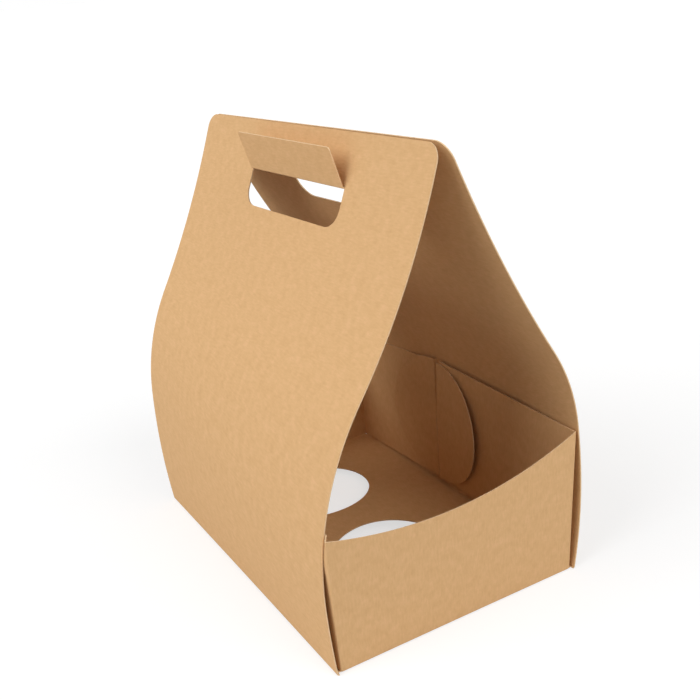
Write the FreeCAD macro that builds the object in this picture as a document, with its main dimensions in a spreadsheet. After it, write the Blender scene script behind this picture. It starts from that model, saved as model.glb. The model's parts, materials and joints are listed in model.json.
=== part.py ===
import FreeCAD, Part
import math
import os

import Sketcher

# A two-cup carrier folded from one sheet of kraft board.
# X runs across the tray, Y along it and Z up; the origin is the middle of the underside.

DIMENSIONS = [
    ("board", 0.6, "thickness of the sheet"),
    ("tray_length", 200.0, "outside, along the floor between the end wall folds"),
    ("tray_width", 137.0, "outside, across the floor between the side panel folds"),
    ("wall_height", 74.0, "end wall corners and lock flaps above the table"),
    ("wall_dip", 10.5, "how far the end wall's curved top edge sinks in the middle"),
    ("wall_lean", 3.5, "degrees that the end walls lean outwards"),
    ("cup_hole", 64.0, "diameter of each round hole in the floor"),
    ("cup_pitch", 83.0, "between the centres of the two round holes"),
    ("fold_radius", 1.2, "outside radius of the fold between floor and side panel"),
    ("panel_overhang", 1.0, "how far a side panel runs past the floor at each end"),
    ("bow_radius", 290.0, "gentle outward bow of a side panel beside the tray"),
    ("bow_height", 45.0, "height at which that bow stands out most"),
    ("shoulder_start", 64.0, "height at which a side panel starts to turn inwards, halfway along"),
    ("shoulder_radius", 122.0, "radius of that turn, halfway along"),
    ("reach_radius", 515.0, "slight outward curve from the shoulder up to the top edge"),
    ("handle_height", 222.0, "top edge of the handle above the table"),
    ("handle_gap", 0.5, "between the two side panels at the top edge"),
    ("handle_corner", 8.0, "radius of the side panels' top corners"),
    ("handle_twist", 4.8, "degrees that the handle's top edge is turned about the upright axis"),
    ("shoulder_shift", 21.0, "how much higher that twist starts the shoulder at the end it pushes out"),
    ("shoulder_change", 5.0, "how much tighter that twist makes the shoulder's turn at the same end"),
    ("grip_length", 84.0, "hand hole, along Y"),
    ("grip_height", 18.0, "hand hole, upright"),
    ("grip_drop", 21.5, "upper edge of the hand hole below the top edge of the handle"),
    ("grip_corner", 9.0, "radius of the hand hole's lower corners and of its flap"),
    ("grip_flap", 19.5, "height of the flap, from its hinge to its free edge"),
    ("grip_flap_lean", 15.0, "degrees between the raised flap and upright"),
    ("grip_fold", 0.5, "radius of the fold that the raised flap hangs on"),
    ("flap_clearance", 0.3, "air between a lock flap and what it lies beside"),
    ("lock_place", 12.0, "where the two lock flaps of a side cross, along Y"),
    ("slit_width", 2.0, "width of the slit that each lock flap hooks into"),
]

FLAP_FACE = "(Sizes.tray_width / 2 - Sizes.board - Sizes.flap_clearance)"
TIP_FACE = "(" + FLAP_FACE + " - Sizes.board - Sizes.flap_clearance)"
FLAP_BOTTOM = "(Sizes.board + Sizes.flap_clearance)"
TIP_RADIUS = "((Sizes.wall_height - " + FLAP_BOTTOM + ") / 2)"
LOCK_MIDDLE = "(" + FLAP_BOTTOM + " + " + TIP_RADIUS + ")"
SLANT_HEIGHT = "(Sizes.wall_height / cos(Sizes.wall_lean))"
PANEL_HALF = "(Sizes.tray_length / 2 + Sizes.panel_overhang)"
GRIP_TOP = "(Sizes.handle_height - Sizes.grip_drop)"
GRIP_BOTTOM = "(" + GRIP_TOP + " - Sizes.grip_height)"

ORIGIN = FreeCAD.Vector(0, 0, 0)
ACROSS = FreeCAD.Vector(1, 0, 0)
ALONG = FreeCAD.Vector(0, 1, 0)
UP = FreeCAD.Vector(0, 0, 1)
TIPPED_UP = FreeCAD.Rotation(ACROSS, 90)
FRONT_SECTION = "FrontPanelSection"
BACK_SECTION = "BackPanelSection"
TOLERANCE = 1e-6

FLOOR_LINE, FOLD_ARC, BOW_ARC, SHOULDER_ARC, REACH_ARC = range(5)


def size_sheet(doc):
    """Put every driving dimension into one sheet under its own name."""
    sheet = doc.addObject("Spreadsheet::Sheet", "Sizes")
    for row, (name, value, note) in enumerate(DIMENSIONS, start=1):
        sheet.set(f"A{row}", name)
        sheet.set(f"B{row}", str(value))
        sheet.set(f"C{row}", note)
        sheet.setAlias(f"B{row}", name)
    doc.recompute()
    return sheet


def value_of(sheet, expression):
    """Work out an expression of the sheet's names as a plain number."""
    result = sheet.evalExpression(expression)
    return float(getattr(result, "Value", result))


def wall_face(height):
    """Give how far out the end wall's outer face is at a height, as an expression."""
    return f"(Sizes.tray_length / 2 + {height} * tan(Sizes.wall_lean))"


def polar(radius, angle):
    """Give a point of a circle around the origin."""
    return FreeCAD.Vector(radius * math.cos(angle), radius * math.sin(angle), 0)


def angle_at(centre, point):
    """Give the direction from a centre to a point, from 0 to a full turn."""
    return math.atan2(point.y - centre.y, point.x - centre.x) % (2 * math.pi)


def arc(centre, radius, start, end):
    """Give a counterclockwise arc."""
    return Part.ArcOfCircle(Part.Circle(centre, UP, radius), start, end)


def outer_centre(first, first_reach, second, second_reach):
    """Give the point at two distances from two points, on their +X side."""
    line = second - first
    along = (first_reach ** 2 - second_reach ** 2 + line.Length ** 2) / (2 * line.Length)
    aside = math.sqrt(first_reach ** 2 - along ** 2)
    line.normalize()
    return first + line * along + FreeCAD.Vector(line.y, -line.x, 0) * aside


def runs_across(edge):
    """Say whether an edge is straight and parallel to X."""
    box = edge.BoundBox
    return box.XLength > 0 and max(box.YLength, box.ZLength) < TOLERANCE


def bind(item, properties):
    """Tie properties of an object to expressions of the sheet's names."""
    for name, expression in properties.items():
        item.setExpression(name, expression)
    return item


def origin_plane(body, role):
    """Find one of a body's own origin planes."""
    return next(item for item in body.Origin.OriginFeatures if item.Role == role)


def new_sketch(body, name, role):
    """Start a sketch on one of its body's origin planes."""
    sketch = body.newObject("Sketcher::SketchObject", name)
    sketch.AttachmentSupport = (origin_plane(body, role), "")
    sketch.MapMode = "FlatFace"
    return sketch


def pin_point(sketch, sheet, geometry, end, place):
    """Hold one end of a sketch line or arc at a pair of expressions."""
    for direction, axis, expression in (("DistanceX", -2, place[0]), ("DistanceY", -1, place[1])):
        value = value_of(sheet, expression)
        if abs(value) < TOLERANCE:
            sketch.addConstraint(Sketcher.Constraint("PointOnObject", geometry, end, axis))
            continue
        if value > 0:
            ends = (-1, 1, geometry, end)
        else:
            ends = (geometry, end, -1, 1)
            expression = "-(" + expression + ")"
        index = sketch.addConstraint(Sketcher.Constraint(direction, *ends, abs(value)))
        sketch.setExpression(f"Constraints[{index}]", expression)


def hold(sketch, sheet, constraint, expression):
    """Add a size to a sketch and tie it to an expression."""
    kind, *ends = constraint
    index = sketch.addConstraint(Sketcher.Constraint(kind, *ends, value_of(sheet, expression)))
    sketch.setExpression(f"Constraints[{index}]", expression)


def outline(body, sheet, name, role, corners):
    """Draw a closed outline through corners given as pairs of expressions."""
    sketch = new_sketch(body, name, role)
    points = [FreeCAD.Vector(value_of(sheet, x), value_of(sheet, y), 0) for x, y in corners]
    count = len(points)
    for index, point in enumerate(points):
        sketch.addGeometry(Part.LineSegment(point, points[(index + 1) % count]))
    for index in range(count):
        sketch.addConstraint(Sketcher.Constraint("Coincident", index, 2, (index + 1) % count, 1))
    for index, corner in enumerate(corners):
        pin_point(sketch, sheet, index, 1, corner)
    return sketch


def pad(body, sketch, length):
    """Raise a sketch into a solid of the given length."""
    feature = body.newObject("PartDesign::Pad", sketch.Name + "Pad")
    feature.Profile = sketch
    return bind(feature, {"Length": length})


def round_corners(body, feature, side, radius):
    """Round a flat plate's upper corners, or its lower ones where side is -1."""
    body.Document.recompute()
    middle = feature.Shape.BoundBox.Center.z
    names = []
    for index, edge in enumerate(feature.Shape.Edges, start=1):
        if runs_across(edge) and side * (edge.CenterOfMass.z - middle) > 0:
            names.append(f"Edge{index}")
    rounding = body.newObject("PartDesign::Fillet", feature.Name + "Round")
    rounding.Base = (feature, names)
    return bind(rounding, {"Radius": radius})


def mirrored(doc, source, normal):
    """Repeat a solid on the other side of a plane through the origin."""
    copy = doc.addObject("Part::Mirroring", source.Name + "Mirrored")
    copy.Source = source
    copy.Normal = normal
    return copy


def panel_section(doc, sheet, name, end):
    """Draw half of the floor and the +X side panel as the outer line of their section.

    The section is the one at the given end, -1 or 1 along Y. The twist of the handle pushes the
    panel's top edge outwards at the -Y end and inwards at the +Y end.
    """
    section = doc.addObject("Sketcher::SketchObject", name)
    section.Placement = FreeCAD.Placement(ORIGIN, TIPPED_UP)
    bind(section, {"Placement.Base.y": f"{end} * {PANEL_HALF}"})
    half_width = "Sizes.tray_width / 2"
    pushed = f"({end} * {PANEL_HALF} * sin(Sizes.handle_twist))"
    top_x = f"(Sizes.handle_gap / 2 + Sizes.board - {pushed})"
    start_height = f"(Sizes.shoulder_start - {end} * Sizes.shoulder_shift)"
    turn_radius = f"(Sizes.shoulder_radius + {end} * Sizes.shoulder_change)"
    fold = value_of(sheet, "Sizes.fold_radius")
    bow = value_of(sheet, "Sizes.bow_radius")
    shoulder = value_of(sheet, turn_radius)
    width = value_of(sheet, half_width)
    bow_height = value_of(sheet, "Sizes.bow_height")
    foot_angle = -math.asin((bow_height - fold) / bow)
    bow_end = math.asin((value_of(sheet, start_height) - bow_height) / bow)
    bow_centre = FreeCAD.Vector(width - bow * math.cos(foot_angle), bow_height, 0)
    shoulder_start = bow_centre + polar(bow, bow_end)
    shoulder_centre = shoulder_start - polar(shoulder, bow_end)
    reach = value_of(sheet, "Sizes.reach_radius")
    top = FreeCAD.Vector(value_of(sheet, top_x), value_of(sheet, "Sizes.handle_height"), 0)
    reach_centre = outer_centre(shoulder_centre, shoulder + reach, top, reach)
    shoulder_end = shoulder_centre + (reach_centre - shoulder_centre) * (shoulder / (shoulder + reach))
    lean = math.asin((shoulder_end.y - shoulder_centre.y) / shoulder)
    section.addGeometry(Part.LineSegment(ORIGIN, FreeCAD.Vector(width - fold, 0, 0)))
    section.addGeometry(arc(FreeCAD.Vector(width - fold, fold, 0), fold, -math.pi / 2, foot_angle))
    section.addGeometry(arc(bow_centre, bow, foot_angle, bow_end))
    section.addGeometry(arc(shoulder_centre, shoulder, bow_end, lean))
    reach_turns = [angle_at(reach_centre, point) for point in (top, shoulder_end)]
    section.addGeometry(arc(reach_centre, reach, *reach_turns))
    section.addConstraint(Sketcher.Constraint("Coincident", FLOOR_LINE, 1, -1, 1))
    section.addConstraint(Sketcher.Constraint("Horizontal", FLOOR_LINE))
    section.addConstraint(Sketcher.Constraint("Tangent", FLOOR_LINE, 2, FOLD_ARC, 1))
    section.addConstraint(Sketcher.Constraint("Tangent", FOLD_ARC, 2, BOW_ARC, 1))
    section.addConstraint(Sketcher.Constraint("Tangent", BOW_ARC, 2, SHOULDER_ARC, 1))
    section.addConstraint(Sketcher.Constraint("Tangent", SHOULDER_ARC, 2, REACH_ARC, 2))
    hold(section, sheet, ("Radius", FOLD_ARC), "Sizes.fold_radius")
    hold(section, sheet, ("Radius", BOW_ARC), "Sizes.bow_radius")
    hold(section, sheet, ("Radius", SHOULDER_ARC), turn_radius)
    hold(section, sheet, ("DistanceX", -1, 1, BOW_ARC, 1), half_width)
    hold(section, sheet, ("DistanceY", -1, 1, BOW_ARC, 3), "Sizes.bow_height")
    hold(section, sheet, ("DistanceY", -1, 1, BOW_ARC, 2), start_height)
    hold(section, sheet, ("Radius", REACH_ARC), "Sizes.reach_radius")
    pin_point(section, sheet, REACH_ARC, 1, (top_x, "Sizes.handle_height"))
    hinge_angle = math.pi + math.asin((reach_centre.y - value_of(sheet, GRIP_TOP)) / reach)
    hinge_place = reach_centre + polar(reach, hinge_angle)
    hinge = section.addGeometry(Part.Point(hinge_place), True)
    section.addConstraint(Sketcher.Constraint("PointOnObject", hinge, 1, REACH_ARC))
    hold(section, sheet, ("DistanceY", -1, 1, hinge, 1), GRIP_TOP)
    measured = section.addConstraint(Sketcher.Constraint("DistanceX", -1, 1, hinge, 1, hinge_place.x))
    section.setDriving(measured, False)
    section.renameConstraint(measured, "hinge_x")
    return section


def side_panel(doc, sheet):
    """Make half of the floor and one tall side panel with its hand hole."""
    thick_sections = []
    for name, end in ((FRONT_SECTION, -1), (BACK_SECTION, 1)):
        thick = doc.addObject("Part::Offset2D", name + "Thick")
        thick.Source = panel_section(doc, sheet, name, end)
        thick.Mode = "Skin"
        thick.Join = "Intersection"
        thick.Fill = True
        bind(thick, {"Value": "Sizes.board"})
        thick_sections.append(thick)
    run = doc.addObject("Part::Loft", "PanelRun")
    run.Sections = thick_sections
    run.Ruled = True
    run.Solid = True
    depth = "(2 * Sizes.tray_width)"
    blank = doc.addObject("PartDesign::Body", "PanelBlank")
    corners = [
        ("-" + PANEL_HALF, "-Sizes.board"),
        (PANEL_HALF, "-Sizes.board"),
        (PANEL_HALF, "Sizes.handle_height"),
        ("-" + PANEL_HALF, "Sizes.handle_height"),
    ]
    raised = pad(blank, outline(blank, sheet, "PanelOutline", "YZ_Plane", corners), depth)
    raised.Midplane = True
    round_corners(blank, raised, 1, "Sizes.handle_corner")
    grip = doc.addObject("PartDesign::Body", "GripHole")
    corners = [
        ("-Sizes.grip_length / 2", GRIP_BOTTOM),
        ("Sizes.grip_length / 2", GRIP_BOTTOM),
        ("Sizes.grip_length / 2", GRIP_TOP),
        ("-Sizes.grip_length / 2", GRIP_TOP),
    ]
    hole = pad(grip, outline(grip, sheet, "GripOutline", "YZ_Plane", corners), depth)
    hole.Midplane = True
    round_corners(grip, hole, -1, "Sizes.grip_corner")
    trimmed = doc.addObject("Part::Common", "TrimmedPanel")
    trimmed.Base = run
    trimmed.Tool = blank
    pierced = doc.addObject("Part::Cut", "PiercedPanel")
    pierced.Base = trimmed
    pierced.Tool = grip
    return pierced


def grip_flap(doc, sheet):
    """Make the flap cut from the hand hole, folded up outside its panel, and its fold."""
    body = doc.addObject("PartDesign::Body", "GripFlap")
    corners = [
        ("-Sizes.grip_length / 2", "0"),
        ("Sizes.grip_length / 2", "0"),
        ("Sizes.grip_length / 2", "Sizes.grip_flap"),
        ("-Sizes.grip_length / 2", "Sizes.grip_flap"),
    ]
    plate = pad(body, outline(body, sheet, "FlapOutline", "YZ_Plane", corners), "Sizes.board")
    round_corners(body, plate, 1, "Sizes.grip_corner")
    body.Placement = FreeCAD.Placement(ORIGIN, FreeCAD.Rotation(ALONG, 1))
    bind(body, {"Placement.Rotation.Angle": "Sizes.grip_flap_lean"})
    fold = doc.addObject("Part::Cylinder", "GripFold")
    fold.Placement = FreeCAD.Placement(ORIGIN, TIPPED_UP)
    bind(fold, {"Radius": "Sizes.grip_fold", "Height": "Sizes.grip_length"})
    bind(fold, {"Placement.Base.y": "Sizes.grip_length / 2"})
    raised = fused(doc, "RaisedFlap", [body, fold])
    front, back = (name + ".Constraints.hinge_x" for name in (FRONT_SECTION, BACK_SECTION))
    raised.Placement = FreeCAD.Placement(ORIGIN, FreeCAD.Rotation(UP, 1))
    bind(raised, {"Placement.Base.x": f"({front} + {back}) / 2", "Placement.Base.z": GRIP_TOP})
    bind(raised, {"Placement.Rotation.Angle": f"atan(({front} - {back}) / (2 mm * {PANEL_HALF}))"})
    return raised


def end_wall(doc, sheet):
    """Make the end wall at the -Y end, with its curved top edge, leaning outwards."""
    body = doc.addObject("PartDesign::Body", "EndWall")
    sketch = new_sketch(body, "EndWallOutline", "XZ_Plane")
    half = value_of(sheet, FLAP_FACE)
    height = value_of(sheet, SLANT_HEIGHT)
    dip = value_of(sheet, "Sizes.wall_dip")
    left = FreeCAD.Vector(-half, 0, 0)
    right = FreeCAD.Vector(half, 0, 0)
    top_right = FreeCAD.Vector(half, height, 0)
    top_left = FreeCAD.Vector(-half, height, 0)
    sketch.addGeometry(Part.LineSegment(left, right))
    sketch.addGeometry(Part.LineSegment(right, top_right))
    sketch.addGeometry(Part.Arc(top_left, FreeCAD.Vector(0, height - dip, 0), top_right))
    sketch.addGeometry(Part.LineSegment(top_left, left))
    for first, first_end, second, second_end in ((0, 2, 1, 1), (1, 2, 2, 2), (2, 1, 3, 1), (3, 2, 0, 1)):
        sketch.addConstraint(Sketcher.Constraint("Coincident", first, first_end, second, second_end))
    pin_point(sketch, sheet, 0, 1, ("-" + FLAP_FACE, "0"))
    pin_point(sketch, sheet, 1, 1, (FLAP_FACE, "0"))
    pin_point(sketch, sheet, 1, 2, (FLAP_FACE, SLANT_HEIGHT))
    pin_point(sketch, sheet, 3, 1, ("-" + FLAP_FACE, SLANT_HEIGHT))
    arc_radius = f"({FLAP_FACE} ^ 2 + Sizes.wall_dip ^ 2) / (2 * Sizes.wall_dip)"
    hold(sketch, sheet, ("Radius", 2), arc_radius)
    raised = pad(body, sketch, "Sizes.board")
    raised.Reversed = True
    body.Placement = FreeCAD.Placement(ORIGIN, FreeCAD.Rotation(ACROSS, 1))
    bind(body, {"Placement.Base.y": "-Sizes.tray_length / 2", "Placement.Rotation.Angle": "Sizes.wall_lean"})
    return body


def lock_flap(doc, sheet, name, end, upper):
    """Make one lock flap at the +X side.

    It runs from the end wall at the given end (-1 or 1 along Y) to the crossing, steps inwards
    through the other flap's slit and ends in a half disc. upper says whether it is whole above
    the middle of the crossing, and slit below, or the other way round.
    """
    near = f"(Sizes.lock_place + {end} * Sizes.slit_width / 2)"
    far = f"(Sizes.lock_place - {end} * Sizes.slit_width / 2)"
    root = doc.addObject("PartDesign::Body", name + "Root")
    corners = [
        (f"{end} * {wall_face(FLAP_BOTTOM)}", FLAP_BOTTOM),
        (near, FLAP_BOTTOM),
        (near, "Sizes.wall_height"),
        (f"{end} * {wall_face('Sizes.wall_height')}", "Sizes.wall_height"),
    ]
    pad(root, outline(root, sheet, name + "Outline", "YZ_Plane", corners), "Sizes.board")
    bind(root, {"Placement.Base.x": FLAP_FACE + " - Sizes.board"})
    step = doc.addObject("PartDesign::Body", name + "Step")
    corners = [
        (FLAP_FACE, near),
        (TIP_FACE, far),
        (TIP_FACE + " - Sizes.board", far),
        (FLAP_FACE + " - Sizes.board", near),
    ]
    bottom = LOCK_MIDDLE if upper else FLAP_BOTTOM
    top = "Sizes.wall_height" if upper else f"({LOCK_MIDDLE} - Sizes.flap_clearance)"
    pad(step, outline(step, sheet, name + "StepOutline", "XY_Plane", corners), f"{top} - {bottom}")
    bind(step, {"Placement.Base.z": bottom})
    tip = doc.addObject("Part::Cylinder", name + "Tip")
    tip.Angle = 180
    turn = FreeCAD.Rotation(ALONG, 90)
    if end > 0:
        turn = FreeCAD.Rotation(ACROSS + UP, 180)
    tip.Placement = FreeCAD.Placement(ORIGIN, turn)
    bind(tip, {"Radius": TIP_RADIUS, "Height": "Sizes.board"})
    place = {"Base.x": TIP_FACE + " - Sizes.board", "Base.y": far, "Base.z": LOCK_MIDDLE}
    bind(tip, {"Placement." + key: expression for key, expression in place.items()})
    return [root, step, tip]


def floor_cuts(doc):
    """Make what is cut from the floor: two cup holes and the strips past the end wall folds."""
    cuts = []
    for name, side in (("Front", -1), ("Back", 1)):
        hole = doc.addObject("Part::Cylinder", name + "CupHole")
        bind(hole, {"Radius": "Sizes.cup_hole / 2", "Height": "3 * Sizes.board"})
        bind(hole, {"Placement.Base.y": f"{side} * Sizes.cup_pitch / 2", "Placement.Base.z": "-Sizes.board"})
        strip = doc.addObject("Part::Box", name + "Relief")
        width = "(Sizes.tray_width - 2 * Sizes.fold_radius)"
        bind(strip, {"Length": width, "Width": "2 * Sizes.panel_overhang", "Height": "3 * Sizes.board"})
        offset = "0" if side > 0 else "-2 * Sizes.panel_overhang"
        bind(strip, {"Placement.Base.x": f"-{width} / 2", "Placement.Base.z": "-Sizes.board"})
        bind(strip, {"Placement.Base.y": f"{side} * Sizes.tray_length / 2 + {offset}"})
        cuts += [hole, strip]
    return cuts


def fused(doc, name, pieces):
    """Join solids into one."""
    joined = doc.addObject("Part::MultiFuse", name)
    joined.Shapes = pieces
    joined.Refine = True
    return joined


def carrier(doc, sheet):
    """Fold the whole carrier: floor, side panels, end walls, lock flaps and handle flaps."""
    one_side = fused(doc, "OneSide", [side_panel(doc, sheet), grip_flap(doc, sheet)])
    turned = mirrored(doc, mirrored(doc, one_side, ACROSS), ALONG)
    both_sides = fused(doc, "BothSides", [one_side, turned])
    opened = doc.addObject("Part::Cut", "OpenedFloor")
    opened.Base = both_sides
    opened.Tool = fused(doc, "FloorCuts", floor_cuts(doc))
    wall = end_wall(doc, sheet)
    flaps = lock_flap(doc, sheet, "FrontFlap", -1, True) + lock_flap(doc, sheet, "BackFlap", 1, False)
    locks = [flap for piece in flaps for flap in (piece, mirrored(doc, piece, ACROSS))]
    whole = fused(doc, "Carrier", [opened, wall, mirrored(doc, wall, ALONG)] + locks)
    whole.Label = "folded_carrier"
    return whole


def check(doc, parts):
    """Stop if any object failed or any part is empty, broken or in more than one piece."""
    for item in doc.Objects:
        if "Invalid" in item.State or "Error" in item.State:
            raise RuntimeError(f"{item.Name} failed: {item.State}")
    for part in parts:
        if part.Shape.isNull() or not part.Shape.isValid():
            raise RuntimeError(f"{part.Label} has no valid shape")
        if len(part.Shape.Solids) != 1:
            raise RuntimeError(f"{part.Label} is in {len(part.Shape.Solids)} pieces")


def main():
    doc = FreeCAD.newDocument("CupCarrier")
    sheet = size_sheet(doc)
    parts = [carrier(doc, sheet)]
    doc.recompute()
    check(doc, parts)
    os.makedirs("parts", exist_ok=True)
    for part in parts:
        box = part.Shape.BoundBox
        print(f"{part.Label}: {box.XLength:.2f} x {box.YLength:.2f} x {box.ZLength:.2f} mm")
        print(f"lowest {box.ZMin:.3f} mm, volume {part.Shape.Volume:.1f} mm3, {len(part.Shape.Faces)} faces")
        part.Shape.exportStep(f"parts/{part.Label}.step")


main()
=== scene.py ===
"""A two-cup carrier folded from one die-cut sheet of kraft board, in a plain white studio."""

import json
import logging
import math
from dataclasses import dataclass
from enum import Enum
from functools import cached_property
from typing import Callable, Iterable

import bmesh
import bpy
from bmesh.types import BMEdge, BMesh, BMFace, BMVert
from mathutils import Matrix, Vector

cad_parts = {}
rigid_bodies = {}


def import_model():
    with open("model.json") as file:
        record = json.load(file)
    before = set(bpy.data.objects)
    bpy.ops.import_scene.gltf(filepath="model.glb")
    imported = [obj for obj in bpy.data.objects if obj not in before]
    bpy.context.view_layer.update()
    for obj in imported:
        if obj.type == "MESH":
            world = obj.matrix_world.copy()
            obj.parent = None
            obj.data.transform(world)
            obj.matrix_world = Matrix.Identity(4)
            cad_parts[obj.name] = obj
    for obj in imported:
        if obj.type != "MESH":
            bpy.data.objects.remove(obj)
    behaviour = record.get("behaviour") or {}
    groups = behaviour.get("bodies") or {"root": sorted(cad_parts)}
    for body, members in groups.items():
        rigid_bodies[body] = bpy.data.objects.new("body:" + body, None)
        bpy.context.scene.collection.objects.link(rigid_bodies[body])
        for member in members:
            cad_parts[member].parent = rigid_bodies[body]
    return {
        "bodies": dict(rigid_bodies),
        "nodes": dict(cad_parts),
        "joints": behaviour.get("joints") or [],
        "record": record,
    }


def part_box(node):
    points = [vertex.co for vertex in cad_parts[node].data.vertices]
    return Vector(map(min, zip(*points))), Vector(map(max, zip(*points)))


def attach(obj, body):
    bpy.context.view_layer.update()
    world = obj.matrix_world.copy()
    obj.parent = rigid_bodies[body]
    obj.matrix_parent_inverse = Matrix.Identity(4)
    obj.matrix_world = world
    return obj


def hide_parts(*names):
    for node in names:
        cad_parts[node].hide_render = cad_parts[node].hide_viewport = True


LOG = logging.getLogger("cup_carrier")

MM = 0.001
# Thickness of the board, in mm.
BOARD = 0.6
# Points of the blank that are nearer than this, in mm, are one point.
WELD = 0.02
CUT_GAP = WELD / 10
SEARCH_GAP = WELD / 100
SLANT_GAP = WELD / 4
CORNER_SEGMENTS = 10
WHITE = (1.0, 1.0, 1.0, 1.0)
CARRIER_NODE = "folded_carrier"
BODY = "root"
BLANK_UV = "Blank"

Place = tuple[float, float]
Fold = Callable[[float, float], Vector]


class Side(Enum):
    """The two side panels: left is at -X and right at +X."""

    LEFT = -1
    RIGHT = 1


class End(Enum):
    """The two end walls: front is at -Y and back at +Y."""

    FRONT = -1
    BACK = 1


class Axis(Enum):
    """The two directions of the flat blank: across the carrier and along it."""

    ACROSS = (1.0, 0.0, 0.0)
    ALONG = (0.0, 1.0, 0.0)


def spread(start: float, end: float, step: float) -> list[float]:
    """Divide a stretch evenly.

    Args:
        start: Where the stretch starts.
        end: Where it ends.
        step: The widest gap allowed between two places.

    Returns:
        The places from start to end, both included.
    """
    count = max(1, math.ceil(abs(end - start) / step))
    return [start + (end - start) * index / count for index in range(count + 1)]


def clamped(value: float) -> float:
    """Keep a share between 0 and 1."""
    return min(1.0, max(0.0, value))


def eased(value: float) -> float:
    """Rise from 0 to 1 between 0 and 1, level at both ends."""
    inside = clamped(value)
    return inside * inside * (3.0 - 2.0 * inside)


def bowl(value: float, reach: float) -> float:
    """Give 1 in the middle of a span, falling to 0 at its ends and beyond."""
    return max(0.0, 1.0 - (value / reach) ** 2)


def blend(start: float, end: float, share: float) -> float:
    """Go from start to end by a share."""
    return start + (end - start) * share


@dataclass(frozen=True)
class Bend:
    """One arc of a folded line: centre, radius, first angle and signed turn, in radians."""

    centre: Vector
    radius: float
    start: float
    turn: float

    @property
    def length(self) -> float:
        """Length along the arc."""
        return self.radius * abs(self.turn)

    def at(self, share: float) -> Vector:
        """Point at a share of the arc."""
        angle = self.start + self.turn * share
        return self.centre + self.radius * Vector((math.cos(angle), math.sin(angle)))


@dataclass(frozen=True)
class PanelSection:
    """Outer line of half the floor and one side panel, seen along the carrier, in mm.

    The line runs from the middle of the floor through the bottom fold, a gentle bow beside the
    tray, a shoulder that turns inwards and a slight outward curve up to the handle edge.
    """

    height: float
    top_place: float
    half_width: float
    bow_radius: float
    shoulder_start: float
    shoulder_radius: float
    reach_radius: float
    bow_height: float = 45.0
    fold_radius: float = 1.2

    @property
    def floor_half(self) -> float:
        """Half the flat part of the floor, across."""
        return self.half_width - self.fold_radius

    @cached_property
    def bends(self) -> list[Bend]:
        """Work out the fold, bow, shoulder and reach as tangent arcs.

        Returns:
            The arcs, in the order the line meets them.
        """
        rise = self.bow_height - self.fold_radius
        foot = -math.asin(rise / (self.bow_radius - self.fold_radius))
        fold_across = self.half_width - self.fold_radius * math.cos(foot)
        fold_centre = Vector((fold_across, self.fold_radius))
        fold = Bend(fold_centre, self.fold_radius, -math.pi / 2, foot + math.pi / 2)
        bow_centre = Vector((self.half_width - self.bow_radius * math.cos(foot), self.bow_height))
        bow_end = math.asin((self.shoulder_start - self.bow_height) / self.bow_radius)
        bow = Bend(bow_centre, self.bow_radius, foot, bow_end - foot)
        outward = Vector((math.cos(bow_end), math.sin(bow_end)))
        shoulder_centre = bow_centre + (self.bow_radius - self.shoulder_radius) * outward
        top = Vector((self.top_place, self.height))
        span = top - shoulder_centre
        whole = self.shoulder_radius + self.reach_radius
        along = (whole ** 2 - self.reach_radius ** 2 + span.length ** 2) / (2 * span.length)
        aside = math.sqrt(whole ** 2 - along ** 2)
        unit = span.normalized()
        reach_centre = shoulder_centre + along * unit + aside * Vector((unit.y, -unit.x))
        link = reach_centre - shoulder_centre
        lean = math.atan2(link.y, link.x)
        shoulder = Bend(shoulder_centre, self.shoulder_radius, bow_end, lean - bow_end)
        last = top - reach_centre
        turn = math.atan2(last.y, last.x) % math.tau - (lean + math.pi)
        return [fold, bow, shoulder, Bend(reach_centre, self.reach_radius, lean + math.pi, turn)]

    @property
    def length(self) -> float:
        """Length of the line from the middle of the floor to the handle edge."""
        return self.floor_half + sum(bend.length for bend in self.bends)

    def locate(self, distance: float) -> Place:
        """Find which stretch of the line a distance falls on.

        Args:
            distance: How far along the line, from the middle of the floor.

        Returns:
            The stretch, 0 for the floor and then the bends in order, and the share of it.
        """
        if distance <= self.floor_half:
            return 0, distance / self.floor_half
        left = distance - self.floor_half
        last = len(self.bends)
        for stretch, bend in enumerate(self.bends, start=1):
            if left <= bend.length or stretch == last:
                break
            left -= bend.length
        return stretch, left / bend.length

    def at(self, stretch: int, share: float) -> Vector:
        """Find a point of the line.

        Args:
            stretch: 0 for the floor, then the bends in order.
            share: How far along that stretch.

        Returns:
            The point as how far out and how high.
        """
        if stretch == 0:
            return Vector((self.floor_half * share, 0.0))
        return self.bends[stretch - 1].at(share)

    def distance_at(self, height: float) -> float:
        """Find how far along the line a height above the floor is reached.

        Args:
            height: Height above the table.

        Returns:
            The distance along the line.
        """
        low, high = self.floor_half, self.length
        while high - low > SEARCH_GAP:
            middle = (low + high) / 2
            if self.at(*self.locate(middle)).y < height:
                low = middle
            else:
                high = middle
        return (low + high) / 2


@dataclass(frozen=True)
class PanelForm:
    """Half the floor and one side panel, as straight lines between the sections at their ends."""

    front: PanelSection
    back: PanelSection
    flat: PanelSection
    half_length: float

    def at(self, distance: float, along: float) -> Vector:
        """Find a point of the panel.

        Args:
            distance: How far along the blank, from the middle of the floor.
            along: Place along the carrier.

        Returns:
            The point as how far out and how high.
        """
        stretch, share = self.flat.locate(distance)
        place = (along + self.half_length) / (2 * self.half_length)
        return self.front.at(stretch, share).lerp(self.back.at(stretch, share), place)


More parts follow.
